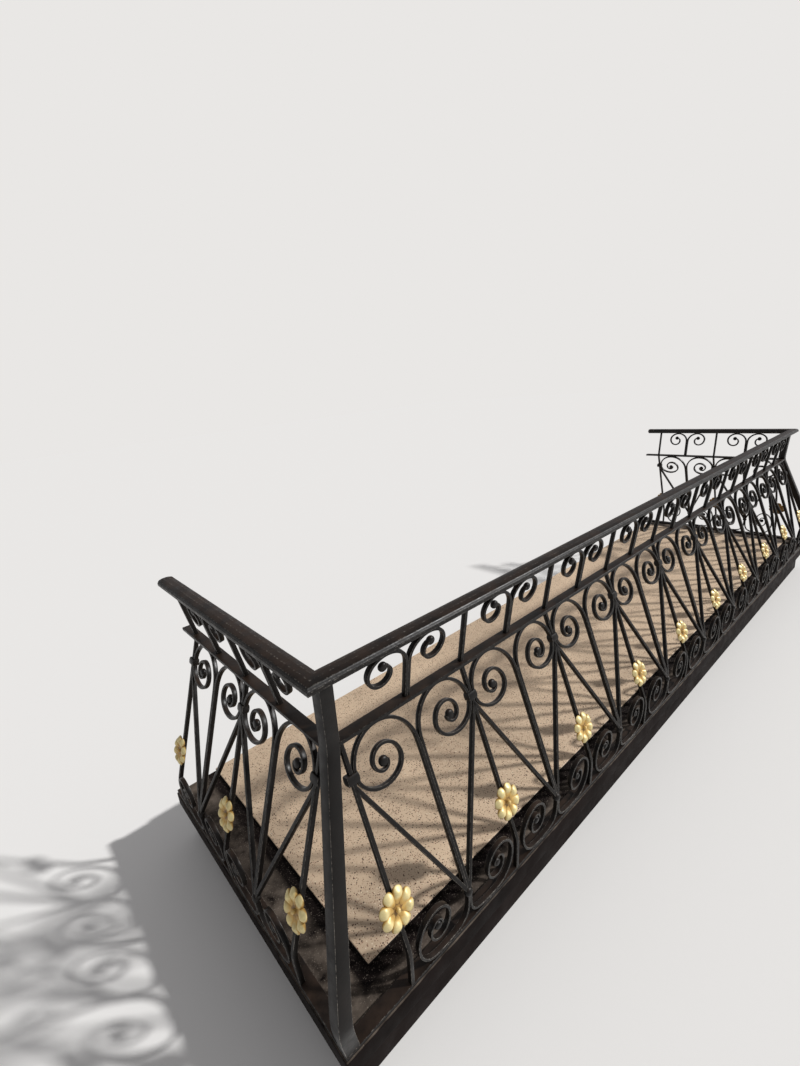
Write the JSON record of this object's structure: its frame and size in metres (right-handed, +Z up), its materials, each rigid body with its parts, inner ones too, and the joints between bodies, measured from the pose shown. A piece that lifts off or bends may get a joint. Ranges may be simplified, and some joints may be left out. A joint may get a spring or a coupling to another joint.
{
  "type": "iron balcony",
  "caption": "Three-sided bellied wrought-iron balcony railing with scrolls, fanned bars and gilded rosettes on a ledge round a raised terrazzo floor slab.",
  "frame": {"origin": "middle of the back face of the base slab, where it meets the wall", "axes": "+X to the right along the facade seen from outside, +Y into the wall, +Z up; the balcony stands out towards -Y"},
  "size_m": [4.6082, 1.2181, 1.136],
  "materials": {
    "wrought_iron": "black satin paint",
    "gilding": "pale gold paint",
    "terrazzo": "polished terrazzo with dark chips",
    "base_render": "dark red-brown masonry paint"
  },
  "bodies": {
    "root": {"base_slab": "base_render", "ledge_plate": "base_render", "floor_slab": "terrazzo", "bottom_rail_front": "wrought_iron", "bottom_rail_left": "wrought_iron", "bottom_rail_right": "wrought_iron", "mid_rail_front": "wrought_iron", "mid_rail_left": "wrought_iron", "mid_rail_right": "wrought_iron", "handrail_front": "wrought_iron", "handrail_left": "wrought_iron", "handrail_right": "wrought_iron", "corner_post_left": "wrought_iron", "corner_post_right": "wrought_iron", "frieze_scrolls_front": "wrought_iron", "frieze_scrolls_left": "wrought_iron", "frieze_scrolls_right": "wrought_iron", "frieze_bars_front": "wrought_iron", "frieze_bars_left": "wrought_iron", "frieze_bars_right": "wrought_iron", "scroll_pairs_front": "wrought_iron", "scroll_pairs_left": "wrought_iron", "scroll_pairs_right": "wrought_iron", "fan_bars_front": "wrought_iron", "fan_bars_left": "wrought_iron", "fan_bars_right": "wrought_iron", "collars_front": "wrought_iron", "collars_left": "wrought_iron", "collars_right": "wrought_iron", "tie_bosses_front": "wrought_iron", "tie_bosses_left": "wrought_iron", "tie_bosses_right": "wrought_iron", "foot_scrolls_front": "wrought_iron", "foot_scrolls_left": "wrought_iron", "foot_scrolls_right": "wrought_iron", "rosettes_front": "gilding", "rosettes_left": "gilding", "rosettes_right": "gilding"}
  },
  "joints": []
}
